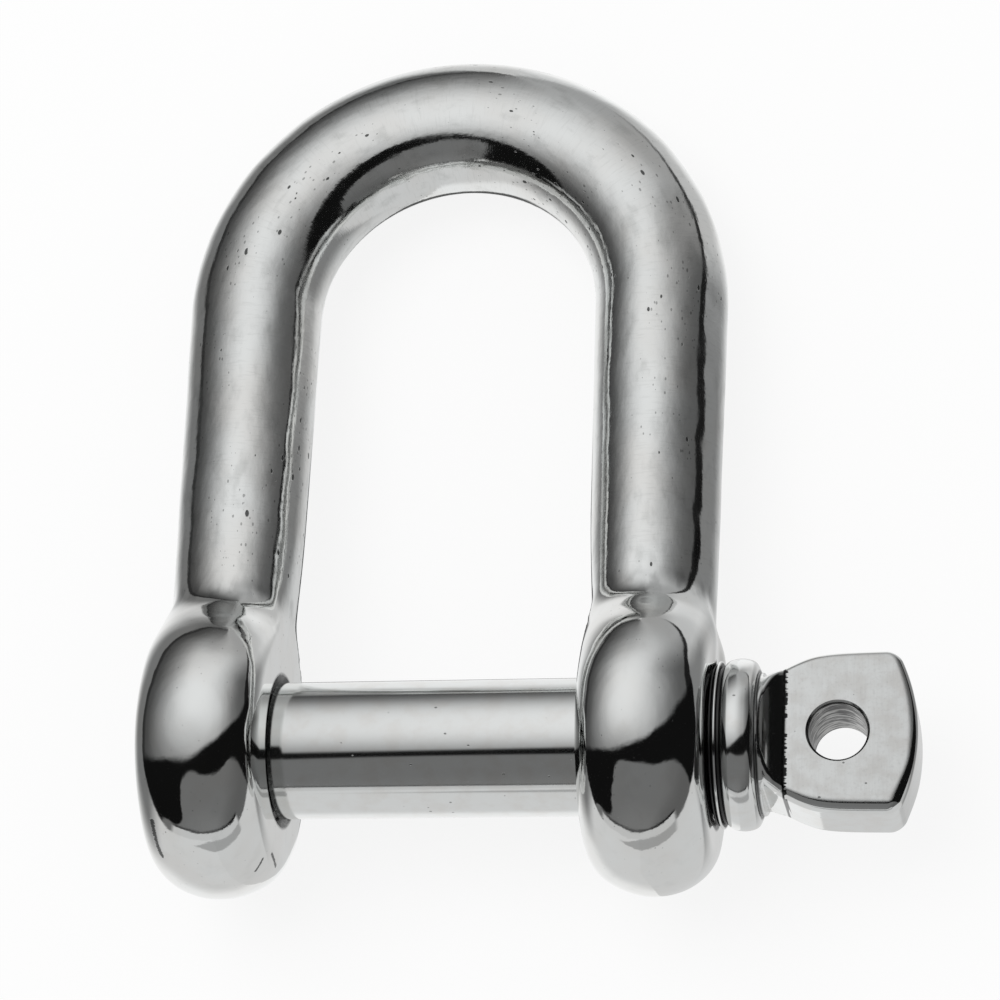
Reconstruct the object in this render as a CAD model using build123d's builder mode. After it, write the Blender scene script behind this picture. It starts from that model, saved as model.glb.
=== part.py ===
from build123d import *
import os
from math import asin, atan, degrees, radians, tan

os.makedirs("parts", exist_ok=True)

# A D shackle lies on its side: two eyes and the crown of the bow touch the surface below it.
# X runs along the pin towards its thumb tab, Y towards the crown, Z up.
# The origin is on the pin's axis, halfway between the eyes.

# Bow, in millimetres
jaw_width = 22.8  # clear gap between the eyes
bar_diameter = 10.0  # at the crown
leg_thinning = 0.6  # how much thinner the legs are where they meet the eyes
eye_flattening = 0.3  # how much thinner again the eyes are
eye_diameter = 21.6
eye_rim_height = 3.35  # rounded rim of each eye, outside the flat part of its side
leg_inset = 0.3  # how far each leg's centre line lies inside the middle of its eye
leg_length = 35.0  # pin's axis to the start of the crown's half circle
neck_fillet = 1.6
jaw_runout_length = 4.0  # above the eyes, where the flat of the jaw fades into the legs

# Bores through the eyes
near_bore_clearance = 0.4  # on the diameter, where the plain shank passes through
near_countersink_width = 0.6
tapped_countersink_width = 1.04
thread_pitch = 1.5
thread_clearance = 0.1  # on the pitch diameter, between the pin's thread and the tapped eye
outer_edge_break = 0.4

# Pin
pin_diameter = 10.0
shank_end_gap = 0.2  # between the shank's shoulder and the tapped eye
tip_setback = 0.3  # how far the pin's end stays inside the tapped eye
tip_chamfer = 0.9

# Collar of the pin, from the eye outwards
seat_gap = 0.1
collar_overhang = 1.2  # how far the collar stands out from the shank
collar_width = 1.9
collar_round = 0.45
flange_setback = 0.15  # how far the flange stays inside the collar's rim
flange_width = 0.5
groove_depth = 0.6  # below the collar's rim
groove_width = 0.3
neck_depth = 1.05  # below the collar's rim
neck_width = 0.9

# Thumb tab of the pin
tab_length = 11.0  # neck to the tip of the rounded end
tab_width = 12.1
tab_root_inset = 1.15  # how far each side of the tab starts inside the neck
tab_flare_length = 3.4
tab_flare_round = 6.0
tab_thickness = 5.9
tab_end_rise = 1.45  # how far the rounded end stands out past its corners
tab_corner_round = 0.8
tab_edge_round = 0.7
scoop_length = 1.9  # concave run-down from the neck to the ground faces
scoop_hollow = 0.1  # how far its middle lies below a straight slope
scoop_lead = 0.1  # how far above the neck it starts, so that it leaves the round with an edge
neck_flare_angle = 25.0  # of the cone that rounds the tab into the neck
lanyard_hole_diameter = 4.2
lanyard_hole_land = 1.35  # ground face left between the run-down and the hole
lanyard_hole_chamfer = 0.2

# Sizes that follow
leg_end_diameter = bar_diameter - leg_thinning
eye_thickness = leg_end_diameter - eye_flattening
eye_radius = eye_diameter / 2
eye_flat_radius = eye_radius - eye_rim_height
eye_inner = jaw_width / 2
eye_outer = eye_inner + eye_thickness
eye_offset = (eye_inner + eye_outer) / 2
leg_offset = eye_offset - leg_inset
leg_inner = leg_offset - leg_end_diameter / 2
crown_reach = leg_length + leg_offset
lean = degrees(asin((eye_radius - bar_diameter / 2) / crown_reach))
leg_taper = degrees(atan(leg_thinning / 2 / (leg_length - eye_radius)))
pitch_diameter = pin_diameter - 0.6495 * thread_pitch
near_bore_radius = (pin_diameter + near_bore_clearance) / 2
tapped_bore_radius = (pitch_diameter + thread_clearance) / 2
collar_diameter = pin_diameter + 2 * collar_overhang
flange_diameter = collar_diameter - 2 * flange_setback
groove_diameter = collar_diameter - 2 * groove_depth
neck_diameter = collar_diameter - 2 * neck_depth
tab_root_width = neck_diameter - 2 * tab_root_inset

# The bow's plane leans towards the crown, so that the crown touches what the eyes stand on
bow_plane = Plane.XY.rotated((-lean, 0, 0))
crown_direction = bow_plane.y_dir


def bow_place(point):
    """Where a point is in the bow's plane: X along the pin, Y towards the crown, Z off the plane."""
    return bow_plane.to_local_coords(point)


def is_rim(edge, diameter):
    """Whether an edge is a full circle of the given diameter."""
    return edge.geom_type == GeomType.CIRCLE and edge.is_closed and abs(2 * edge.radius - diameter) < 1e-6


# Bow: crown, two tapering legs and two eyes, forged as one piece
with BuildPart() as bow:
    with BuildLine(bow_plane):
        crown_arc = CenterArc((0, leg_length), leg_offset, 0, 180)
    with BuildSketch(Plane(origin=crown_arc @ 0, z_dir=crown_arc % 0)):
        Circle(bar_diameter / 2)
    sweep(path=crown_arc)

    leg_root = 0.6 * eye_radius  # each leg ends inside its eye
    for side in (-1, 1):
        leg_start = bow_plane.from_local_coords((side * leg_offset, leg_length, 0))
        with BuildSketch(Plane(origin=leg_start, z_dir=-crown_direction)):
            Circle(bar_diameter / 2)
        extrude(amount=leg_length - leg_root, taper=leg_taper)

        # the rim of an eye is half an ellipse across its thickness
        with BuildSketch(bow_plane):
            with BuildLine():
                rim = EllipticalCenterArc(
                    (side * eye_offset, eye_flat_radius),
                    eye_thickness / 2,
                    eye_rim_height,
                    start_angle=0,
                    arc_size=180,
                )
                Polyline(
                    rim @ 0,
                    (side * eye_offset + eye_thickness / 2, 0),
                    (side * eye_offset - eye_thickness / 2, 0),
                    rim @ 1,
                )
            make_face()
        revolve(axis=Axis.X)

    # each leg rounds into the rim of its eye, in front and behind
    neck_edges = bow.edges().filter_by(GeomType.BSPLINE)
    fillet(neck_edges.filter_by(lambda edge: bow_place(edge @ 0.5).Y > eye_flat_radius), neck_fillet)

    # the jaw is flat between the eyes and fades out on the legs above them
    with BuildSketch(bow_plane):
        jaw_top = eye_radius - neck_fillet
        with BuildLine():
            jaw_side = Polyline(
                (0, -eye_diameter),
                (eye_inner, -eye_diameter),
                (eye_inner, jaw_top),
                (2 * leg_inner - eye_inner, jaw_top + 2 * jaw_runout_length),
                (0, jaw_top + 2 * jaw_runout_length),
            )
            mirror(jaw_side, about=Plane.YZ)
        make_face()
    extrude(amount=eye_radius, both=True, mode=Mode.SUBTRACT)

    # plain bore on the thumb tab's side, tapped bore on the other, both countersunk in the jaw
    with Locations(Plane(origin=(eye_inner, 0, 0), z_dir=(-1, 0, 0))):
        CounterSinkHole(near_bore_radius, near_bore_radius + near_countersink_width, counter_sink_angle=90)
    with Locations(Plane(origin=(-eye_inner, 0, 0), z_dir=(1, 0, 0))):
        CounterSinkHole(tapped_bore_radius, tapped_bore_radius + tapped_countersink_width, counter_sink_angle=90)
    outer_faces = bow.faces().filter_by(Axis.X).sort_by(Axis.X)
    for face in (outer_faces[0], outer_faces[-1]):
        chamfer(face.inner_wires().edges(), outer_edge_break)

bow.part.label = "bow"
export_step(bow.part, "parts/bow.step")

# Where the steps of the pin lie along X
shoulder_start = -eye_inner + shank_end_gap
tip_start = -eye_outer + tip_setback
flange_start = eye_outer + seat_gap
groove_start = flange_start + flange_width
collar_start = groove_start + groove_width
neck_start = collar_start + collar_width
tab_start = neck_start + neck_width
tab_root_start = collar_start
tab_end = tab_start + tab_length
tab_corner = tab_end - tab_end_rise
scoop_end = tab_start + scoop_length
lanyard_hole_place = scoop_end + lanyard_hole_land + lanyard_hole_diameter / 2

# Outline of the thumb tab: it starts inside the collar, flares from the neck, and its end is rounded
with BuildSketch(bow_plane) as tab_outline:
    with BuildLine():
        flare = FilletPolyline(
            (tab_root_start, tab_root_width / 2),
            (tab_start, tab_root_width / 2),
            (tab_start + tab_flare_length, tab_width / 2),
            (tab_corner, tab_width / 2),
            radius=(tab_flare_round / 2, tab_flare_round),
        )
        mirror(flare, about=Plane.XZ)
        ThreePointArc((tab_corner, tab_width / 2), (tab_end, 0), (tab_corner, -tab_width / 2))
        Line((tab_root_start, tab_root_width / 2), (tab_root_start, -tab_root_width / 2))
    make_face()
    fillet(tab_outline.vertices().group_by(Axis.X)[-1], tab_corner_round)

# Thumb tab: both faces are ground flat, and the arris around them is rounded
with BuildPart() as tab_plate:
    extrude(tab_outline.sketch, amount=tab_thickness / 2, both=True)
    ground_faces = tab_plate.faces().filter_by(bow_plane)
    outline_edges = ground_faces.edges().filter_by(lambda edge: (edge @ 0.5).X > tab_root_start + tab_edge_round)
    fillet(outline_edges, tab_edge_round)

# Root of the tab: a concave run-down on both sides from the round neck to the ground faces
with BuildPart() as tab_root:
    extrude(tab_outline.sketch, amount=neck_diameter, both=True)

    with BuildSketch(Plane(origin=(0, 0, 0), x_dir=(1, 0, 0), z_dir=-crown_direction)):
        with BuildLine():
            root_height = neck_diameter / 2 + scoop_lead
            scoop_middle = (
                (tab_start + scoop_end) / 2 - scoop_hollow,
                (neck_diameter + tab_thickness) / 4 - scoop_hollow,
            )
            half_side = [
                Polyline((tab_root_start, 0), (tab_root_start, root_height), (tab_start, root_height)),
                ThreePointArc((tab_start, root_height), scoop_middle, (scoop_end, tab_thickness / 2)),
                Line((scoop_end, tab_thickness / 2), (scoop_end, 0)),
            ]
            mirror(half_side, about=Plane.XZ)
        make_face()
    extrude(amount=tab_width, both=True, mode=Mode.INTERSECT)

# The neck stays round: a cone through its end trims the plate and the root
with BuildPart() as thumb_tab:
    add([tab_plate.part, tab_root.part])
    with BuildSketch(bow_plane):
        cone_slope = tan(radians(neck_flare_angle))
        cone_end = tab_end + tab_end_rise
        with BuildLine():
            Polyline(
                (tab_root_start, 0),
                (tab_root_start, neck_diameter / 2 - (tab_start - tab_root_start) * cone_slope),
                (cone_end, neck_diameter / 2 + (cone_end - tab_start) * cone_slope),
                (cone_end, 0),
                close=True,
            )
        make_face()
    revolve(axis=Axis.X, mode=Mode.INTERSECT)

# Pin: threaded end, shank, seat flange, collar and neck are turned, and the thumb tab is one with them
with BuildPart() as screw_pin:
    turned_steps = (
        (tip_start, shoulder_start, pitch_diameter),
        (shoulder_start, flange_start, pin_diameter),
        (flange_start, groove_start, flange_diameter),
        (groove_start, collar_start, groove_diameter),
        (collar_start, neck_start, collar_diameter),
        (neck_start, tab_start, neck_diameter),
    )
    with BuildSketch(bow_plane):
        for start, end, diameter in turned_steps:
            with Locations(((start + end) / 2, diameter / 4)):
                Rectangle(end - start, diameter / 2)
    revolve(axis=Axis.X)
    tip_edge = screw_pin.edges().sort_by(Axis.X)[0]
    chamfer(tip_edge, tip_chamfer)
    collar_edges = screw_pin.edges().filter_by(lambda edge: is_rim(edge, collar_diameter))
    fillet(collar_edges, collar_round)
    add(thumb_tab.part)

    with Locations(Plane(origin=(lanyard_hole_place, 0, 0), z_dir=bow_plane.z_dir)):
        Hole(lanyard_hole_diameter / 2)
    hole_rims = screw_pin.edges().filter_by(lambda edge: is_rim(edge, lanyard_hole_diameter))
    chamfer(hole_rims, lanyard_hole_chamfer)

screw_pin.part.label = "screw_pin"
export_step(screw_pin.part, "parts/screw_pin.step")
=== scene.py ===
"""A long D shackle of polished stainless steel, lying on its side on a pale floor.

Lengths are millimetres unless a name says otherwise, and become metres when a mesh is made. Most shapes are
worked out in the bow's plane: X along the pin towards its thumb tab, Y towards the crown, Z off the plane.
"""
from math import asin, cos, pi, radians, sin, tan

import bmesh
import bpy
import numpy as np
from mathutils import Matrix, Vector


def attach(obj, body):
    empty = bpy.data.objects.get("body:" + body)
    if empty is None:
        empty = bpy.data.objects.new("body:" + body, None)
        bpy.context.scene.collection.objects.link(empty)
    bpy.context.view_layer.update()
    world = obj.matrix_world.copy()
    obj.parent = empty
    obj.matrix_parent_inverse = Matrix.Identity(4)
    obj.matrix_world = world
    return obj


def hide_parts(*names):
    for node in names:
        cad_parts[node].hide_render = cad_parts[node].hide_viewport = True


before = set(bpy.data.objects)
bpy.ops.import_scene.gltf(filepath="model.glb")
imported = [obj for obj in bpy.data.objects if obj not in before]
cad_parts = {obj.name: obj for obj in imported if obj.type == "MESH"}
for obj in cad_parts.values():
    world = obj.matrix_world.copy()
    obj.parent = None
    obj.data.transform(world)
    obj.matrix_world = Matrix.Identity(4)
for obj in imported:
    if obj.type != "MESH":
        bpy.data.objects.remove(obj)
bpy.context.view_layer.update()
scene = bpy.context.scene
MM = 0.001

# Fineness of the meshes
BOW_VOXEL = 0.285
TAB_VOXEL = 0.09
BORE_SEGMENTS = 96
PIN_SEGMENTS = 128
TAP_STEP = 0.1
THREAD_STEP = 0.09
CORNER_POINTS = 5
SHARP_ANGLE = radians(32)

# How far tools reach past the faces they cut, and how far plugs stay inside them
OVERCUT = 2
TAP_OVERRUN = 0.3
PLUG_INSET = 0.05

# Bow
JAW_HALF = 11.4
EYE_THICKNESS = 9.1
EYE_RADIUS = 10.8
EYE_RIM_HEIGHT = 3.35
LEG_OFFSET = 15.65
LEG_LENGTH = 35.0
CROWN_BAR_RADIUS = 5.0
LEG_END_RADIUS = 4.7
NECK_FILLET = 1.6
NECK_MELT = 0.95
NECK_MELT_HEIGHT = 3.5
LEAST_MELT = 0.05
JAW_RUNOUT_LENGTH = 4.0
JAW_EDGE_ROUND = 0.55
JAW_EDGE_ROUND_START = 8
JAW_EDGE_ROUND_FULL = 11
WAVES_END = 5.2  # off the middle of an eye, along the pin
WAVES_FULL = 3.6
EYE_OUTER = JAW_HALF + EYE_THICKNESS
EYE_MIDDLE = JAW_HALF + EYE_THICKNESS / 2
DENT_PLACE = (15.7, 12.6)  # along the pin and towards the crown
DENT_RADIUS = 0.75
DENT_WIDTH = 0.3
DENT_DEPTH = 0.03

# Bores
NEAR_BORE_RADIUS = 5.2
NEAR_COUNTERSINK_RADIUS = 5.8
TAPPED_COUNTERSINK_RADIUS = 5.6
TAPPED_OUTER_RADIUS = 5.1
OUTER_EDGE_BREAK = 0.4
BORE_EDGE_ROUND = 0.12

# Pin and its M10 thread
PIN_RADIUS = 5.0
THREAD_PITCH = 1.5
THREAD_DEPTH = 0.85
THREAD_CREST = 0.19
THREAD_ROOT = 0.38
THREAD_ROOM = 0.06
THREAD_CREST_RADIUS = 4.96
THREAD_END = -12.4
RELIEF_RADIUS = 4.2
RELIEF_START = -12.3
SHOULDER_START = -11.5
TIP_START = -20.2
TIP_CHAMFER = 0.9
FLANGE_START = 20.62
FIRST_RING_RADIUS = 5.8
FIRST_RING_END = 20.78
SECOND_RING_START = 20.96
SECOND_RING_END = 21.12
RING_FLANK = 0.04
RING_ROUND = 0.06
GROOVE_ROUND = 0.05
FLANGE_RADIUS = 6.05
FLANGE_GROOVE_RADIUS = 5.55
COLLAR_START = 21.36
COLLAR_RADIUS = 6.2
COLLAR_ROUND = 0.95
COLLAR_END = 23.8
COLLAR_FACE_RADIUS = 5.45
NECK_RADIUS = 5.15
TURNED_NECK_RADIUS = 5.12
TAB_CUT = 23.9
TAB_OVERLAP = 0.05
TAB_START = 24.2

# Thumb tab
TAB_END = 35.2
TAB_END_RISE = 1.45
TAB_HALF_WIDTH = 6.05
TAB_ROOT_HALF_WIDTH = 4.0
TAB_FLARE_LENGTH = 3.4
TAB_FLARE_BEND = 0.9
TAB_CORNER_ROUND = 0.8
TAB_HALF_THICKNESS = 2.95
TAB_EDGE_ROUND = 0.7
SCOOP_START = 24.0
SCOOP_END = 25.78
SCOOP_HOLLOW = 0.12
NECK_FLARE_ANGLE = radians(25)
HOLE_PLACE = 29.55
HOLE_RADIUS = 2.1
HOLE_CHAMFER = 0.2
HOLE_EDGE_ROUND = 0.15

# The bow's plane leans, so that the crown and the eyes lie on one floor
LEAN = asin((EYE_RADIUS - CROWN_BAR_RADIUS) / (LEG_LENGTH + LEG_OFFSET))
plane_to_row = Matrix.Rotation(-LEAN, 3, "X")


def into_plane(places):
    """Places of the row frame, as the bow's plane has them."""
    return places @ np.array(plane_to_row)


def out_of_plane(places):
    return places @ np.array(plane_to_row).T


def soft_union(a, b, radius):
    """Two distances to solids, joined with a fillet of that radius."""
    corner = np.hypot(np.maximum(radius - a, 0), np.maximum(radius - b, 0))
    return np.maximum(radius, np.minimum(a, b)) - corner


def melted(a, b, reach):
    """Two distances to solids, joined as if the corner had melted, so that no edge bounds the fillet."""
    return -reach * np.logaddexp(-a / reach, -b / reach)


def soft_overlap(a, b, radius):
    """What two solids share, with a rounded edge where their surfaces cross."""
    return -soft_union(-a, -b, radius)


def fade(value, start, end):
    """From 0 at start to 1 at end, without a kink."""
    share = np.clip((value - start) / (end - start), 0, 1)
    return share * share * (3 - 2 * share)


def bar(x, y, z):
    """Distance to the round bar of the two tapering legs and the half-round crown."""
    along = np.clip(y, EYE_RADIUS / 2, LEG_LENGTH)
    thinning = (CROWN_BAR_RADIUS - LEG_END_RADIUS) / (LEG_LENGTH - EYE_RADIUS)
    radius = CROWN_BAR_RADIUS - (LEG_LENGTH - along) * thinning
    across = np.hypot(x, np.maximum(y - LEG_LENGTH, 0)) - LEG_OFFSET
    return np.sqrt(across**2 + z**2 + np.minimum(y - along, 0) ** 2) - radius


def eye(x, y, z):
    """Distance to an eye with flat sides and a rim that is half an ellipse."""
    half = EYE_THICKNESS / 2
    across = np.abs(x) - EYE_MIDDLE
    out = np.hypot(y, z) - (EYE_RADIUS - EYE_RIM_HEIGHT)
    reach = np.hypot(across / half, out / EYE_RIM_HEIGHT) + 1e-9
    steepness = np.hypot(across / half**2, out / EYE_RIM_HEIGHT**2) + 1e-9
    return np.where(out < 0, np.abs(across) - half, (reach - 1) * reach / steepness)


def jaw_room(x, y):
    """How deep a place lies in the jaw, whose flat sides fade out on the legs above the eyes."""
    jaw_top = EYE_RADIUS - NECK_FILLET
    slope = (JAW_HALF - LEG_OFFSET + LEG_END_RADIUS) / JAW_RUNOUT_LENGTH
    side = JAW_HALF - slope * np.maximum(y - jaw_top, 0) - np.abs(x)
    return np.minimum(side, jaw_top + 2 * JAW_RUNOUT_LENGTH - y)


def forging_waves(x, y, z):
    """The faint unevenness that hand polishing leaves on a forging: long waves, and short, shallow ones."""
    waves = 0
    for height, along_x, along_y, along_z, phase in (
        (0.016, 0.53, 0.41, 0.36, 0.3),
        (0.014, -0.42, 0.64, 0.23, 1.9),
        (0.017, 0.93, -0.24, -0.71, 4.1),
        (0.015, 0.31, 1.12, -0.54, 2.7),
        (0.012, -1.21, 0.36, 0.88, 5.2),
        (0.003, 1.9, 2.1, -0.8, 0.7),
        (0.0025, -2.6, 1.4, 1.7, 3.6),
        (0.0014, 0.7, -3.3, 2.4, 5.5),
    ):
        waves = waves + height * np.sin(along_x * x + along_y * y + along_z * z + phase)
    return waves


def dent(x, y, z):
    """A shallow ring low on the front of the leg at the tab's side, as a small round tool leaves."""
    off_centre = np.hypot(x - DENT_PLACE[0], y - DENT_PLACE[1])
    return np.where(z > 0, DENT_DEPTH * np.exp(-(((off_centre - DENT_RADIUS) / DENT_WIDTH) ** 2)), 0)


def bow_surface(places):
    """Distance to the forging: the waves run over its eyes and legs and end on the crown."""
    x, y, z = places.T
    melt = NECK_MELT * fade(np.abs(z), 0, NECK_MELT_HEIGHT) + LEAST_MELT
    body = melted(bar(x, y, z), eye(x, y, z), melt)
    edge = JAW_EDGE_ROUND * fade(y, JAW_EDGE_ROUND_START, JAW_EDGE_ROUND_FULL) + 0.01
    swell = fade(np.abs(np.abs(x) - EYE_MIDDLE), WAVES_END, WAVES_FULL) * forging_waves(x, y, z)
    return soft_overlap(body + swell + dent(x, y, z), jaw_room(x, y), edge)


def tab_half_width(x):
    """Half the tab's width: level in the neck, a flare, then level again, with soft bends between."""
    slope = (TAB_HALF_WIDTH - TAB_ROOT_HALF_WIDTH) / TAB_FLARE_LENGTH
    along = x - TAB_START
    rising = TAB_ROOT_HALF_WIDTH + slope * (along + np.hypot(along, 0.4)) / 2
    return (rising + TAB_HALF_WIDTH + 0.06 - np.hypot(rising - TAB_HALF_WIDTH, TAB_FLARE_BEND)) / 2


def circle_through(a, b, c):
    """Centre and radius of the circle through three points."""
    turned = np.array([[b[0] - a[0], b[1] - a[1]], [c[0] - a[0], c[1] - a[1]]])
    centre = np.linalg.solve(turned, (turned**2).sum(axis=1) / 2)
    return centre[0] + a[0], centre[1] + a[1], np.hypot(*centre)


def tab_surface(places):
    """Distance to the thumb tab: two ground faces, a concave run-down to the neck, and a rounded arris."""
    x, y, z = places.T
    end_radius = (TAB_HALF_WIDTH**2 + TAB_END_RISE**2) / (2 * TAB_END_RISE)
    end = np.hypot(x - (TAB_END - end_radius), y) - end_radius
    outline = soft_overlap(np.abs(y) - tab_half_width(x), end, TAB_CORNER_ROUND)
    scoop_x, scoop_z, scoop_radius = circle_through(
        (SCOOP_START, NECK_RADIUS),
        ((SCOOP_START + SCOOP_END) / 2 - SCOOP_HOLLOW, (NECK_RADIUS + TAB_HALF_THICKNESS) / 2 - SCOOP_HOLLOW),
        (SCOOP_END, TAB_HALF_THICKNESS),
    )
    run_down = np.maximum(scoop_radius - np.hypot(x - scoop_x, np.abs(z) - scoop_z), x - SCOOP_END)
    root = np.where(x < SCOOP_START, np.abs(z) - NECK_RADIUS, run_down)
    thick = np.minimum(np.abs(z) - TAB_HALF_THICKNESS, root)
    arris = TAB_EDGE_ROUND * (0.75 + 0.6 * fade(-y, 2, 5) + 0.25 * fade(x, 33, 35))
    plate = soft_overlap(outline, thick, arris)
    cone_radius = NECK_RADIUS + (x - TAB_START) * tan(NECK_FLARE_ANGLE)
    cone = (np.hypot(y, z) - cone_radius) * cos(NECK_FLARE_ANGLE)
    neck = soft_overlap(soft_overlap(np.hypot(y, z) - NECK_RADIUS, x - TAB_START, 0.12), root, 0.1)
    return np.maximum(soft_union(soft_overlap(plate, cone, 0.25), neck, 0.2), TAB_CUT - x)


def settle(places, surface, steps=8):
    """Moves places along the slope of a surface function, until they lie on it."""
    nudge = 1e-3
    for _ in range(steps):
        value = surface(places)
        steps_up = [surface(places + nudge * axis) - surface(places - nudge * axis) for axis in np.eye(3)]
        slope = np.stack([step / (2 * nudge) for step in steps_up], axis=1)
        steepness = np.maximum((slope**2).sum(axis=1), 0.25)
        places = places - np.clip(value / steepness, -0.3, 0.3)[:, None] * slope
    return places


def new_object(name, data):
    piece = bpy.data.objects.new(name, data)
    scene.collection.objects.link(piece)
    return piece


def bake_modifiers(piece):
    baked = bpy.data.meshes.new_from_object(piece.evaluated_get(bpy.context.evaluated_depsgraph_get()))
    piece.modifiers.clear()
    plain = piece.data
    piece.data = baked
    bpy.data.meshes.remove(plain)


def combine(piece, operation, *tools):
    """Cuts the tools from a piece or joins them to it, and takes them away."""
    for tool in tools:
        modifier = piece.modifiers.new(tool.name, "BOOLEAN")
        modifier.operation = operation
        modifier.solver = "MANIFOLD"
        modifier.object = tool
    bake_modifiers(piece)
    for tool in tools:
        bpy.data.meshes.remove(tool.data)


def fine_copy(name, shape, voxel, surface):
    """An even, fine mesh around a rough closed shape, settled on the true surface."""
    mesh = bpy.data.meshes.new(name)
    shape.to_mesh(mesh)
    shape.free()
    piece = new_object(name, mesh)
    remesh = piece.modifiers.new("voxels", "REMESH")
    remesh.mode = "VOXEL"
    remesh.voxel_size = voxel * MM
    bake_modifiers(piece)
    places = np.empty(3 * len(piece.data.vertices))
    piece.data.vertices.foreach_get("co", places)
    places = settle(into_plane(places.reshape(-1, 3) / MM), surface)
    piece.data.vertices.foreach_set("co", (out_of_plane(places) * MM).ravel())
    piece.data.update()
    return piece


def add_plug(shape, centre, axis, length, radius):
    """A closed cylinder that fills a bore before the fine copy is made."""
    turn = Vector((0, 0, 1)).rotation_difference(Vector(axis)).to_matrix().to_4x4()
    bmesh.ops.create_cone(
        shape,
        cap_ends=True,
        segments=64,
        radius1=radius * MM,
        radius2=radius * MM,
        depth=length * MM,
        matrix=Matrix.Translation(Vector(centre) * MM) @ turn,
    )


def round_corners(profile):
    """Rows of (place, radius) from corners of (place, radius, rounding); the two ends stay sharp."""
    rows = [profile[0][:2]]
    for before, corner, after in zip(profile, profile[1:], profile[2:]):
        here = Vector(corner[:2])
        rounding = corner[2]
        back = Vector(before[:2]) - here
        on = Vector(after[:2]) - here
        if rounding:
            start = here + back.normalized() * min(rounding, back.length * 0.45)
            end = here + on.normalized() * min(rounding, on.length * 0.45)
            for step in range(CORNER_POINTS):
                share = step / (CORNER_POINTS - 1)
                rows.append(tuple(start.lerp(here, share).lerp(here.lerp(end, share), share)))
        else:
            rows.append(tuple(here))
    return rows + [profile[-1][:2]]


def spun(name, rows, segments, axis_x=Vector((1, 0, 0)), axis_y=Vector((0, 1, 0)), centre=Vector()):
    """A closed mesh turned about axis_x, from rows of (place along it, radius or function of the angle)."""
    axis_z = axis_x.cross(axis_y)
    shape = bmesh.new()
    rings = []
    for along, radius in rows:
        ring = []
        for step in range(segments):
            angle = 2 * pi * step / segments
            reach = radius(angle) if callable(radius) else radius
            place = centre + axis_x * along + (axis_y * cos(angle) + axis_z * sin(angle)) * reach
            ring.append(shape.verts.new(place * MM))
        rings.append(ring)
    for ring, following in zip(rings, rings[1:]):
        for step in range(segments):
            after = (step + 1) % segments
            shape.faces.new((ring[step], following[step], following[after], ring[after]))
    shape.faces.new(rings[0])
    shape.faces.new(rings[-1][::-1])
    bmesh.ops.recalc_face_normals(shape, faces=shape.faces)
    mesh = bpy.data.meshes.new(name)
    shape.to_mesh(mesh)
    shape.free()
    return new_object(name, mesh)


def thread_drop(along, angle):
    """How far a right-hand thread lies below its crests at a place along the pin."""
    turn = (along / THREAD_PITCH + angle / (2 * pi)) % 1
    from_crest = abs(turn - 0.5) * THREAD_PITCH
    flank = (THREAD_PITCH - THREAD_CREST - THREAD_ROOT) / 2
    return THREAD_DEPTH * min(max((from_crest - THREAD_CREST / 2) / flank, 0), 1)


def threaded_rows(start, end, step, ceiling, crest, sign=1):
    """Rows of a thread that stays under a turned ceiling, or above it where sign is -1."""
    count = round(abs(end - start) / step)

    def radius_at(along):
        return lambda angle: sign * min(sign * ceiling(along), sign * (crest - thread_drop(along, angle)))

    places = [start + (end - start) * number / count for number in range(count + 1)]
    return [(along, radius_at(along)) for along in places]


# Bow: a fine copy of the forging, then its two bores
shape = bmesh.new()
shape.from_mesh(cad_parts["bow"].data)
for side in (-1, 1):
    eye_depth = EYE_THICKNESS - 2 * PLUG_INSET
    add_plug(shape, (side * EYE_MIDDLE, 0, 0), (1, 0, 0), eye_depth, NEAR_COUNTERSINK_RADIUS + 0.4)
bow = fine_copy("bow_forging", shape, BOW_VOXEL, bow_surface)

countersink_end = JAW_HALF + NEAR_COUNTERSINK_RADIUS - NEAR_BORE_RADIUS
near_bore_profile = [
    (JAW_HALF - OVERCUT, NEAR_COUNTERSINK_RADIUS + OVERCUT, 0),
    (countersink_end, NEAR_BORE_RADIUS, BORE_EDGE_ROUND),
    (EYE_OUTER - OUTER_EDGE_BREAK, NEAR_BORE_RADIUS, BORE_EDGE_ROUND),
    (EYE_OUTER + OVERCUT, NEAR_BORE_RADIUS + OUTER_EDGE_BREAK + OVERCUT, 0),
]
near_bore = spun("near_bore", round_corners(near_bore_profile), BORE_SEGMENTS)


def tapped_mouth(along):
    """Smallest radius of the tapped bore where it is countersunk in the jaw and chamfered outside."""
    in_jaw = TAPPED_COUNTERSINK_RADIUS + along + JAW_HALF
    outside = TAPPED_OUTER_RADIUS - along - EYE_OUTER
    return max(in_jaw, outside, 0)


tap_start = -EYE_OUTER - TAP_OVERRUN
tap_end = -JAW_HALF + TAP_OVERRUN
tap_rows = threaded_rows(tap_start, tap_end, TAP_STEP, tapped_mouth, PIN_RADIUS + THREAD_ROOM, sign=-1)
tapped_bore = spun("tapped_bore", tap_rows, BORE_SEGMENTS)
combine(bow, "DIFFERENCE", near_bore, tapped_bore)

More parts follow.
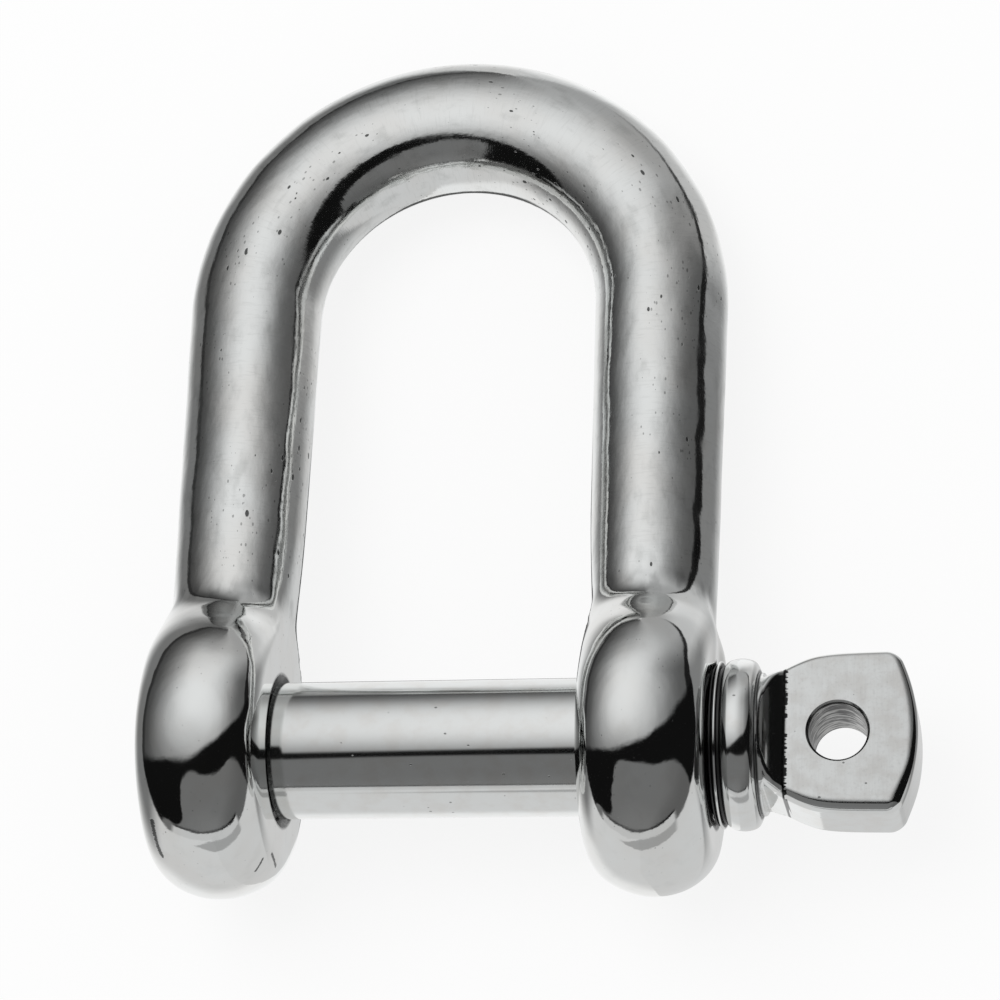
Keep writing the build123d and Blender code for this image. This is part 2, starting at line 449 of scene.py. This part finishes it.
# Pin: threaded end, shank, two thin seat rings, collar and neck are turned
turned_profile = [
    (RELIEF_START, RELIEF_RADIUS, 0),
    (SHOULDER_START, RELIEF_RADIUS, 0.1),
    (SHOULDER_START, PIN_RADIUS, 0.08),
    (FLANGE_START, PIN_RADIUS, GROOVE_ROUND),
    (FLANGE_START, FIRST_RING_RADIUS, RING_ROUND),
    (FIRST_RING_END, FIRST_RING_RADIUS, RING_ROUND),
    (FIRST_RING_END + RING_FLANK, FLANGE_GROOVE_RADIUS, GROOVE_ROUND),
    (SECOND_RING_START - RING_FLANK, FLANGE_GROOVE_RADIUS, GROOVE_ROUND),
    (SECOND_RING_START, FLANGE_RADIUS, RING_ROUND),
    (SECOND_RING_END, FLANGE_RADIUS, RING_ROUND),
    (SECOND_RING_END + RING_FLANK, FLANGE_GROOVE_RADIUS, GROOVE_ROUND),
    (COLLAR_START, FLANGE_GROOVE_RADIUS, 0.03),
    (COLLAR_START, FLANGE_GROOVE_RADIUS + 0.15, 0.1),
    (COLLAR_START + 0.3, COLLAR_RADIUS - 0.16, 0.4),
    (COLLAR_START + COLLAR_ROUND, COLLAR_RADIUS, 0.5),
    (COLLAR_END - COLLAR_ROUND, COLLAR_RADIUS, 0.5),
    (COLLAR_END - 0.26, COLLAR_RADIUS - 0.2, 0.4),
    (COLLAR_END, COLLAR_FACE_RADIUS, 0.15),
    (COLLAR_END, TURNED_NECK_RADIUS, 0.08),
    (TAB_CUT + TAB_OVERLAP, TURNED_NECK_RADIUS, 0),
    (TAB_CUT + TAB_OVERLAP, 1, 0),
]


def pin_tip(along):
    """Largest radius of the pin's chamfered end."""
    return THREAD_CREST_RADIUS - max(TIP_CHAMFER - (along - TIP_START), 0)


thread_rows = threaded_rows(TIP_START, THREAD_END, THREAD_STEP, pin_tip, THREAD_CREST_RADIUS)
pin = spun("pin", thread_rows + round_corners(turned_profile), PIN_SEGMENTS)

# Thumb tab: a fine copy of the end of the CAD pin, joined to the turned neck and drilled
across_tab = plane_to_row @ Vector((0, 0, 1))
shape = bmesh.new()
shape.from_mesh(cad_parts["screw_pin"].data)
bmesh.ops.remove_doubles(shape, verts=shape.verts, dist=1e-7)
cut = bmesh.ops.bisect_plane(
    shape,
    geom=shape.verts[:] + shape.edges[:] + shape.faces[:],
    plane_co=(TAB_CUT * MM, 0, 0),
    plane_no=(1, 0, 0),
    clear_inner=True,
)
rim = [edge for edge in cut["geom_cut"] if isinstance(edge, bmesh.types.BMEdge)]
bmesh.ops.edgenet_fill(shape, edges=rim)
tab_depth = 2 * TAB_HALF_THICKNESS - PLUG_INSET
add_plug(shape, (HOLE_PLACE, 0, 0), across_tab, tab_depth, HOLE_RADIUS + HOLE_CHAMFER + 0.1)
tab = fine_copy("tab", shape, TAB_VOXEL, tab_surface)
combine(pin, "UNION", tab)
hole_depth = TAB_HALF_THICKNESS - HOLE_CHAMFER
hole_profile = [
    (-hole_depth - OVERCUT, HOLE_RADIUS + OVERCUT, 0),
    (-hole_depth, HOLE_RADIUS, HOLE_EDGE_ROUND),
    (hole_depth, HOLE_RADIUS, HOLE_EDGE_ROUND),
    (hole_depth + OVERCUT, HOLE_RADIUS + OVERCUT, 0),
]
along_tab = Vector((1, 0, 0))
hole_rows = round_corners(hole_profile)
hole_middle = Vector((HOLE_PLACE, 0, 0))
lanyard_hole = spun("lanyard_hole", hole_rows, BORE_SEGMENTS, across_tab, along_tab, hole_middle)
combine(pin, "DIFFERENCE", lanyard_hole)

for piece, body, slot, node in ((bow, "bow", "bow_steel", "bow"), (pin, "pin", "pin_steel", "screw_pin")):
    piece.data.shade_smooth()
    piece.data.set_sharp_from_angle(angle=SHARP_ANGLE)
    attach(piece, body)
    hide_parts(node)


class Wire:
    """An output of a shader node that takes part in plain arithmetic."""

    def __init__(self, sheet, socket):
        self.sheet = sheet
        self.socket = socket

    def maths(self, operation, *values):
        return self.sheet.node("Math", {"operation": operation}, dict(enumerate(values)))

    def __add__(self, other):
        return self.maths("ADD", self, other)

    def __sub__(self, other):
        return self.maths("SUBTRACT", self, other)

    def __rsub__(self, other):
        return self.maths("SUBTRACT", other, self)

    def __mul__(self, other):
        return self.maths("MULTIPLY", self, other)

    def __truediv__(self, other):
        return self.maths("DIVIDE", self, other)

    def __pow__(self, other):
        return self.maths("POWER", self, other)

    def __neg__(self):
        return self.maths("MULTIPLY", self, -1)

    def __abs__(self):
        return self.maths("ABSOLUTE", self)

    def exponential(self):
        return self.maths("EXPONENT", self)

    __radd__ = __add__
    __rmul__ = __mul__

    def fade(self, start, end):
        """From 0 at start to 1 at end, without a kink."""
        values = {"Value": self, "From Min": start, "From Max": end}
        return self.sheet.node("MapRange", {"interpolation_type": "SMOOTHSTEP"}, values)

    def twin(self, output):
        """Another output of the same node."""
        return Wire(self.sheet, self.socket.node.outputs[output])

    def least(self, other):
        return self.maths("MINIMUM", self, other)

    def most(self, other):
        return self.maths("MAXIMUM", self, other)


class Sheet:
    """The nodes of a material or a world."""

    def __init__(self, owner):
        owner.use_nodes = True
        self.owner = owner
        self.tree = owner.node_tree
        self.tree.nodes.clear()

    def node(self, kind, settings=None, values=None, output=0):
        """Adds a node by its type, with its settings and its sockets' values or wires."""
        made = self.tree.nodes.new("ShaderNode" + kind)
        for name, setting in (settings or {}).items():
            if name == "curve":
                curve = made.mapping.curves[0]
                for position, level in setting[1:-1]:
                    curve.points.new(position, level)
                for point, (position, level) in zip(curve.points, setting):
                    point.location = (position, level)
                made.mapping.update()
            else:
                setattr(made, name, setting)
        for name, value in (values or {}).items():
            if isinstance(value, Wire):
                self.tree.links.new(value.socket, made.inputs[name])
            else:
                made.inputs[name].default_value = value
        return Wire(self, made.outputs[output]) if made.outputs else None

    def vector_maths(self, operation, *values, output=0):
        return self.node("VectorMath", {"operation": operation}, dict(enumerate(values)), output)

    def mix_colour(self, share, first, second):
        return self.node("Mix", {"data_type": "RGBA"}, {0: share, 6: first, 7: second}, output=2)

    def along(self, vector, direction):
        return self.vector_maths("DOT_PRODUCT", vector, direction, output=1)

    def curve(self, value, reach, levels, points):
        """A curve through points of (value, level), which lie within reach and levels."""
        low, high = reach
        floor, ceiling = levels
        drawn = [((place - low) / (high - low), (level - floor) / (ceiling - floor)) for place, level in points]
        share = (value - low) / (high - low)
        return self.node("FloatCurve", {"curve": drawn}, {"Value": share}) * (ceiling - floor) + floor


def plane_places(sheet):
    """Millimetres along the pin, towards the crown and off the bow's plane."""
    place = sheet.node("TexCoord").twin("Object")
    return [sheet.along(place, plane_to_row @ Vector(axis) / MM) for axis in ((1, 0, 0), (0, 1, 0), (0, 0, 1))]


def stretched(sheet, x, y, z, scales):
    """A texture place, with so many features to a millimetre in each direction."""
    return sheet.node("CombineXYZ", None, {0: x * scales[0], 1: y * scales[1], 2: z * scales[2]})


def noise(sheet, x, y, z, scales, detail=2):
    place = stretched(sheet, x, y, z, scales)
    return sheet.node("TexNoise", None, {"Vector": place, "Scale": 1.0, "Detail": detail})


def pits(sheet, x, y, z, scales, share, size, ragged):
    """Scattered small hollows of ragged outline: 1 in their middle, in that share of the cells."""
    place = stretched(sheet, x, y, z, scales)
    cells = sheet.node("TexVoronoi", None, {"Vector": place, "Scale": 1.0}, "Distance")
    chance = sheet.node("SeparateColor", None, {0: cells.twin("Color")})
    radius = (chance - 1 + share) / share * size + 0.25 * size * (ragged - 0.5)
    return (radius - cells).fade(0, 0.04)


def nick(x, y, z, start, end, half_width):
    """1 along a short straight nick between two places."""
    run = Vector(end) - Vector(start)
    off_x, off_y, off_z = (place - first for place, first in zip((x, y, z), start))
    share = ((off_x * run.x + off_y * run.y + off_z * run.z) / run.length_squared).most(0).least(1)
    gap_x, gap_y, gap_z = (off - share * step for off, step in zip((off_x, off_y, off_z), run))
    return (half_width - (gap_x * gap_x + gap_y * gap_y + gap_z * gap_z) ** 0.5).fade(0, 0.08)


def finish_steel(sheet, colour, roughness, height):
    """Metal of that colour and roughness, with a relief given in millimetres."""
    relief = sheet.node("Bump", None, {"Distance": MM, "Strength": 1.0, "Height": height})
    values = {"Base Color": colour, "Metallic": 1.0, "Roughness": roughness, "Normal": relief}
    sheet.node("OutputMaterial", None, {"Surface": sheet.node("BsdfPrincipled", None, values)})
    return sheet.owner


BRIGHT_STEEL = (0.785, 0.8, 0.795, 1)
WARM_STEEL = (0.755, 0.755, 0.74, 1)
DULL_BAR = (0.42, 0.43, 0.42, 1)
DULL_FACE = (0.5, 0.5, 0.49, 1)
HOLE_WALL_DARK = (0.09, 0.09, 0.09, 1)
DARK_PIT = (0.06, 0.062, 0.062, 1)
PIN_PIT = (0.1, 0.1, 0.1, 1)
# Near black, painted where shade falls in crevices and grooves and along the ragged edge of the tab's faces
PAINTED_SHADE = (0.035, 0.036, 0.036, 1)


def forged_steel():
    """Forging polished by hand: a soft mirror on the eyes, satin with marks and pits on the legs and crown."""
    sheet = Sheet(bpy.data.materials.new("polished_forging"))
    x, y, z = plane_places(sheet)
    past_legs = (y - LEG_LENGTH).most(0)
    round_crown = x.maths("ARCTAN2", x, past_legs) * LEG_OFFSET
    run = round_crown + x.maths("SIGN", x) * (LEG_LENGTH - y).most(0)
    out = (x * x + past_legs * past_legs) ** 0.5 - LEG_OFFSET
    on_bar = y.fade(10.5, 13)

    across_bar = noise(sheet, run, out, z, (6, 0.9, 0.9), 3)
    along_bar = noise(sheet, run, out, z, (0.3, 5, 5), 3)
    patches = noise(sheet, run, out, z, (0.45, 0.9, 0.9), 5)
    blotches = noise(sheet, run, out, z, (1.0, 1.5, 1.5), 3)
    grain = noise(sheet, run, out, z, (3.5, 3.5, 3.5), 3)
    tint = noise(sheet, run, out, z, (0.16, 0.22, 0.22), 3)

    clusters = noise(sheet, run, out, z, (0.13, 0.2, 0.2), 2).fade(0.47, 0.6) * (0.3 + 0.7 * on_bar)
    ragged = noise(sheet, run, out, z, (7, 9, 9), 2)
    deep_pits = pits(sheet, run, out, z, (0.8, 1.6, 1.6), 0.3 + 0.6 * clusters, 0.25 * clusters, ragged)
    pin_pricks = pits(sheet, run, out, z, (1.8, 3.4, 3.4), 0.3 + 0.5 * clusters, 0.14 + 0.16 * clusters, ragged)
    # Three nicks low on the eye away from the tab
    crooked = x + 0.5 * (ragged - 0.5)
    nicks = nick(crooked, y, z, (-12.5, -9.5, 1.3), (-11.9, -8.8, 1.8), 0.16)
    nicks = nicks.most(nick(crooked, y, z, (-11.7, -8.4, -1.3), (-11.5, -8.1, 0.8), 0.17))
    nicks = nicks.most(nick(crooked, y, z, (-19.05, -7.4, 6.6), (-18.75, -9.2, 4.1), 0.24))
    deep_pits = deep_pits.most(nicks)

    # Painted shade: the mouths of the bores in the jaw and the crevice behind the pin's flange are coloured
    # near black where shade falls; the same mask also roughens the steel like grime.
    from_bore = (y * y + z * z) ** 0.5
    in_tapped_mouth = from_bore.fade(5.85, 5.6) * x.fade(-11.3, -11.45)
    in_near_mouth = from_bore.fade(6.0, 5.8) * abs(x - JAW_HALF - 0.4).fade(0.45, 0.3)
    behind_flange = from_bore.fade(6.3, 6.0) * x.fade(20.3, 20.45)
    rough_edge = 0.6 + 0.8 * grain
    shade_and_grime = ((in_tapped_mouth.most(behind_flange) + 0.6 * in_near_mouth) * rough_edge).least(1)
    # Darker in patches in a band around the necks, where the legs meet the eyes
    patchy_neck_darkening = 0.3 * abs(y - 10.9).fade(1.4, 0.2) * patches.fade(0.4, 0.65)

    steel = sheet.mix_colour(tint.fade(0.35, 0.7), BRIGHT_STEEL, WARM_STEEL)
    dull = patches.fade(0.5, 0.72) * (0.3 + 0.7 * on_bar) + 0.5 * on_bar * across_bar.fade(0.5, 0.75)
    steel = sheet.mix_colour(0.3 * dull, steel, DULL_BAR)
    dark_spots = (0.9 * deep_pits + 0.5 * pin_pricks + patchy_neck_darkening).least(0.9)
    steel = sheet.mix_colour(dark_spots, steel, DARK_PIT)
    colour = sheet.mix_colour(0.95 * shade_and_grime, steel, PAINTED_SHADE)

    satin = 0.05 + 0.03 * on_bar + 0.08 * patches.fade(0.45, 0.7) * (0.2 + 0.8 * on_bar)
    roughness = (satin + 0.25 * (deep_pits + shade_and_grime)).least(0.6)
    marks = 0.0022 * across_bar * (0.2 + 0.8 * on_bar) + 0.0009 * along_bar + 0.0005 * grain
    height = marks + (0.004 + 0.008 * on_bar) * blotches - 0.014 * deep_pits - 0.0015 * pin_pricks
    return finish_steel(sheet, colour, roughness, height)


def turned_steel():
    """Turned and polished pin, with ground faces on its tab, and shade painted near black in its grooves,
    thread relief and neck.
    """
    sheet = Sheet(bpy.data.materials.new("polished_pin"))
    x, y, z = plane_places(sheet)
    from_axis = (y * y + z * z) ** 0.5
    from_hole = ((x - HOLE_PLACE) * (x - HOLE_PLACE) + y * y) ** 0.5

    turning = noise(sheet, x, y, z, (9, 0.25, 0.25), 3)
    along_pin = noise(sheet, x, y, z, (0.35, 5, 5), 3)
    patches = noise(sheet, x, y, z, (0.7, 0.8, 0.8), 5)
    grain = noise(sheet, x, y, z, (4.5, 4.5, 4.5), 3)
    wheel_marks = noise(sheet, x, y, z, (6, 0.5, 0.5), 4)
    small_pits = pits(sheet, x, y, z, (1.2, 1.7, 1.7), 0.35, 0.16, grain)

    off_middle = abs(z)
    ground = off_middle.fade(2.86, 2.92) * x.fade(SCOOP_END - 0.05, SCOOP_END + 0.1)
    on_tab = x.fade(SCOOP_END - 0.3, SCOOP_END)
    in_hole = from_hole.fade(HOLE_RADIUS + 0.12, HOLE_RADIUS + 0.04)
    drill_marks = noise(sheet, x, y, z, (0.8, 0.8, 5), 4)
    # The wheel that ground the faces lifted in small jumps and left a ragged edge, which is not modelled: its
    # shade is painted as near black teeth where the faces begin.
    teeth = noise(sheet, x, y, z, (0.2, 6.5, 0.2), 1).fade(0.42, 0.6)
    ragged_edge_shade = (SCOOP_END + 0.03 + 0.19 * teeth - x).fade(0, 0.04)
    ragged_edge_shade = ragged_edge_shade * x.fade(SCOOP_END - 0.2, SCOOP_END - 0.1)

    # Painted shade: the thread relief, the grooves by the flange and the crevice at the neck are coloured near
    # black where shade falls; the same mask also roughens the steel.
    in_thread = x.fade(SHOULDER_START + 0.02, SHOULDER_START - 0.12)
    in_grooves = abs(x - (FLANGE_START + COLLAR_START) / 2).fade(0.55, 0.4) * from_axis.fade(6.0, 5.85)
    in_neck = abs(x - COLLAR_END - 0.08).fade(0.22, 0.1) * from_axis.fade(5.5, 5.25)
    shade_and_grime = (in_thread * (0.75 + 0.5 * grain)).most(in_grooves).most(0.8 * in_neck).least(1)

    steel = sheet.mix_colour(patches.fade(0.4, 0.7), BRIGHT_STEEL, WARM_STEEL)
    steel = sheet.mix_colour((0.6 * small_pits).least(0.9), steel, PIN_PIT)
    dull = 0.14 * wheel_marks.fade(0.35, 0.75) + 0.2 * grain.fade(0.5, 0.75) + 0.13 * patches.fade(0.4, 0.65)
    steel = sheet.mix_colour(ground * dull, steel, DULL_FACE)
    # The lanyard hole's wall is coloured near black, lighter along the drill marks
    hole_wall = sheet.mix_colour(drill_marks.fade(0.4, 0.62), HOLE_WALL_DARK, DULL_FACE)
    steel = sheet.mix_colour(in_hole, steel, hole_wall)
    colour = sheet.mix_colour((0.95 * shade_and_grime).most(ragged_edge_shade), steel, PAINTED_SHADE)

    roughness = 0.07 + 0.05 * patches + 0.2 * ground + 0.28 * in_hole + 0.3 * shade_and_grime + 0.2 * small_pits
    roughness = roughness.least(0.6)
    turned = (0.0005 * turning + 0.0004 * along_pin) * (1 - on_tab)
    height = turned + 0.0016 * ground * wheel_marks + 0.006 * in_hole * drill_marks
    height = height + 0.0003 * grain - 0.01 * small_pits
    return finish_steel(sheet, colour, roughness, height)


for piece, look in ((bow, forged_steel()), (pin, turned_steel())):
    piece.data.materials.clear()
    piece.data.materials.append(look)


def upright_to_row(x, y, z):
    """A direction or place of the upright shackle, Z to its crown and Y away from the viewer, as it lies."""
    return plane_to_row @ Vector((x, z, -y))


# Camera: the photo's view of the upright shackle, turned over with it
CAMERA_TURN = radians(10.519)
CAMERA_RISE = radians(22.079)
CAMERA_ROLL = radians(2.616)
CAMERA_DISTANCE = 299.51
CAMERA_AIM = upright_to_row(3.93, 0, 19.48)
FOCAL_PIXELS = 4023.1
IMAGE_PIXELS = 1000

level_ahead = Vector((-sin(CAMERA_TURN), cos(CAMERA_TURN))) * cos(CAMERA_RISE)
ahead = upright_to_row(*level_ahead, sin(CAMERA_RISE))
level_right = upright_to_row(cos(CAMERA_TURN), sin(CAMERA_TURN), 0)
level_up = level_right.cross(ahead)
right = level_right * cos(CAMERA_ROLL) + level_up * sin(CAMERA_ROLL)
up = level_up * cos(CAMERA_ROLL) - level_right * sin(CAMERA_ROLL)
camera_data = bpy.data.cameras.new("camera")
camera_data.lens = FOCAL_PIXELS / IMAGE_PIXELS * camera_data.sensor_width
camera_data.clip_start = 0.01
camera = new_object("camera", camera_data)
view = Matrix((right, up, -ahead)).transposed().to_4x4()
camera.matrix_world = Matrix.Translation((CAMERA_AIM - ahead * CAMERA_DISTANCE) * MM) @ view
scene.camera = camera
scene.view_settings.view_transform = "Standard"

# Floor: white to the eye, with a soft shadow; the steel mirrors the studio in its place
FLOOR_RADIUS = 3000
FLOOR_SHADOW = 0.16
floor_mesh = bpy.data.meshes.new("floor")
shape = bmesh.new()
floor_place = Matrix.Translation((0, 0, -EYE_RADIUS * MM))
bmesh.ops.create_circle(shape, cap_ends=True, segments=96, radius=FLOOR_RADIUS * MM, matrix=floor_place)
shape.to_mesh(floor_mesh)
shape.free()
floor = new_object("floor", floor_mesh)
floor.visible_glossy = False
sheet = Sheet(bpy.data.materials.new("pale_floor"))
paint = sheet.node("BsdfDiffuse", None, {"Color": (0.95, 0.95, 0.95, 1)})
glow = sheet.node("Emission", None, {"Strength": 1.0})
seen = sheet.node("LightPath").twin("Is Camera Ray") * (1 - FLOOR_SHADOW)
sheet.node("OutputMaterial", None, {"Surface": sheet.node("MixShader", None, {0: seen, 1: paint, 2: glow})})
floor_mesh.materials.append(sheet.owner)

# Lamp
lamp_data = bpy.data.lights.new("key_lamp", "AREA")
lamp_data.size = 0.5
lamp_data.energy = 2.2
lamp = new_object("key_lamp", lamp_data)
lamp.location = (-0.2, 0.15, 0.7)
lamp.rotation_euler = Vector(lamp.location).to_track_quat("Z", "Y").to_euler()
lamp.visible_glossy = False

# World: white behind all, and a level light on the floor
WORLD_LEVEL = 0.8
world = bpy.data.worlds.new("white_room")
scene.world = world
sheet = Sheet(world)
strength = WORLD_LEVEL + (1 - WORLD_LEVEL) * sheet.node("LightPath").twin("Is Camera Ray")
sheet.node("OutputWorld", None, {"Surface": sheet.node("Background", None, {"Strength": strength})})

# Studio: a dome of soft panels and black flags that only the polished steel sees.
# Its places are angles in degrees from the middle of the pin, around the upright shackle: side is 0
# towards the viewer and grows to the viewer's right, and height grows towards the crown.
STUDIO_RADIUS = 145
DEGREES = 180 / pi
dome_mesh = bpy.data.meshes.new("studio_dome")
shape = bmesh.new()
bmesh.ops.create_icosphere(shape, subdivisions=5, radius=STUDIO_RADIUS * MM)
shape.to_mesh(dome_mesh)
shape.free()
dome = new_object("studio_dome", dome_mesh)
for ray_kind in ("camera", "diffuse", "transmission", "volume_scatter", "shadow"):
    setattr(dome, "visible_" + ray_kind, False)

sheet = Sheet(bpy.data.materials.new("soft_panels_and_flags"))
sheet.owner.cycles.emission_sampling = "NONE"
direction = sheet.vector_maths("NORMALIZE", sheet.node("TexCoord").twin("Object"))
towards_right = sheet.along(direction, upright_to_row(1, 0, 0))
towards_viewer = sheet.along(direction, upright_to_row(0, -1, 0))
towards_crown = sheet.along(direction, upright_to_row(0, 0, 1))
side = towards_right.maths("ARCTAN2", towards_right, towards_viewer) * DEGREES
height = towards_crown.maths("ARCSINE", towards_crown) * DEGREES

# The lower edge of the front panel, the upper edge of the table, and the edge of the flag at the right
panel_edge = sheet.curve(
    side,
    (-180, 180),
    (-90, 90),
    ((-180, 0), (-90, -3), (-60, -13), (-30, -20), (0, -15), (30, -4), (60, 12), (85, 24), (180, 50)),
)
table_edge = sheet.curve(
    side,
    (-180, 180),
    (-90, 90),
    (
        (-180, -30), (-88, -35), (-68, -56), (-45, -44), (-25, -29),
        (5, -32), (30, -29), (60, -16), (90, -15), (180, -10),
    ),
)
front_edge = sheet.curve(
    height,
    (-90, 90),
    (0, 180),
    ((-90, 95), (-20, 95), (5, 104), (35, 91), (60, 98), (90, 130)),
)
flag_width = 8 + 8 * height.fade(45, 20)

across = (side + 10) / (38 + 6 * side.fade(-20, 0))
up_panel = (height - 25) / 43
panel = 0.1 + 0.8 * (-(abs(across) ** 2.4) - abs(up_panel) ** 2.8).exponential()
high_fill = 0.3 * height.fade(35, 60) * side.fade(-20, 40)
left_fall = (1 - 0.35 * side.fade(-60, -80)) * (1 - 0.6 * side.fade(-80, -86))
under = height.fade(-44, -50)
table_end = under * towards_viewer.fade(0.115, 0.1)
table_dark = 0.13 * towards_viewer.fade(0.16, 0.13) * under
table = 0.17 + 0.03 * height.fade(-55, -80) - 0.05 * side.fade(40, 80) - table_dark
lens = (0.1 * towards_right.fade(-0.45, 0.05) - abs(towards_viewer + 0.1)).fade(0, 0.02)
reflector = 1 - 0.42 * under * lens
black_flag = (side - front_edge + flag_width).fade(-2, 2) * height.fade(78, 60)
in_panel = (height - panel_edge).fade(-2.5, 2.5) * (1 - 0.93 * black_flag)
in_table = (table_edge - height).fade(-1.5, 1.5)
front = (panel + high_fill) * left_fall * in_panel + table * in_table * (1 - table_end)
front = 0.006 + front + 0.62 * table_end

left_back = (0.2 + 0.75 * side.fade(-105, -145)) * (1 - height.fade(-15, -35)) + 0.72 * height.fade(-15, -35)
low = height.fade(2, -10)
right_back = 0.24 + 0.45 * side.fade(120, 165).most(low) + 0.36 * height.fade(30, 46)
above = 1 - 0.3 * height.fade(62, 80)
door = 0.9 * side.fade(-155, -162) * height.fade(12, 16) * height.fade(34, 28)
past_right = (side - front_edge).fade(-1.5, 1.5)
past_left = side.fade(-89, -92)
back = (right_back * past_right + left_back * past_left * (1 - door)) * above * reflector
level = front * (1 - past_right) * (1 - past_left) + back
sheet.node("OutputMaterial", None, {"Surface": sheet.node("Emission", None, {"Color": level})})
dome_mesh.materials.append(sheet.owner)
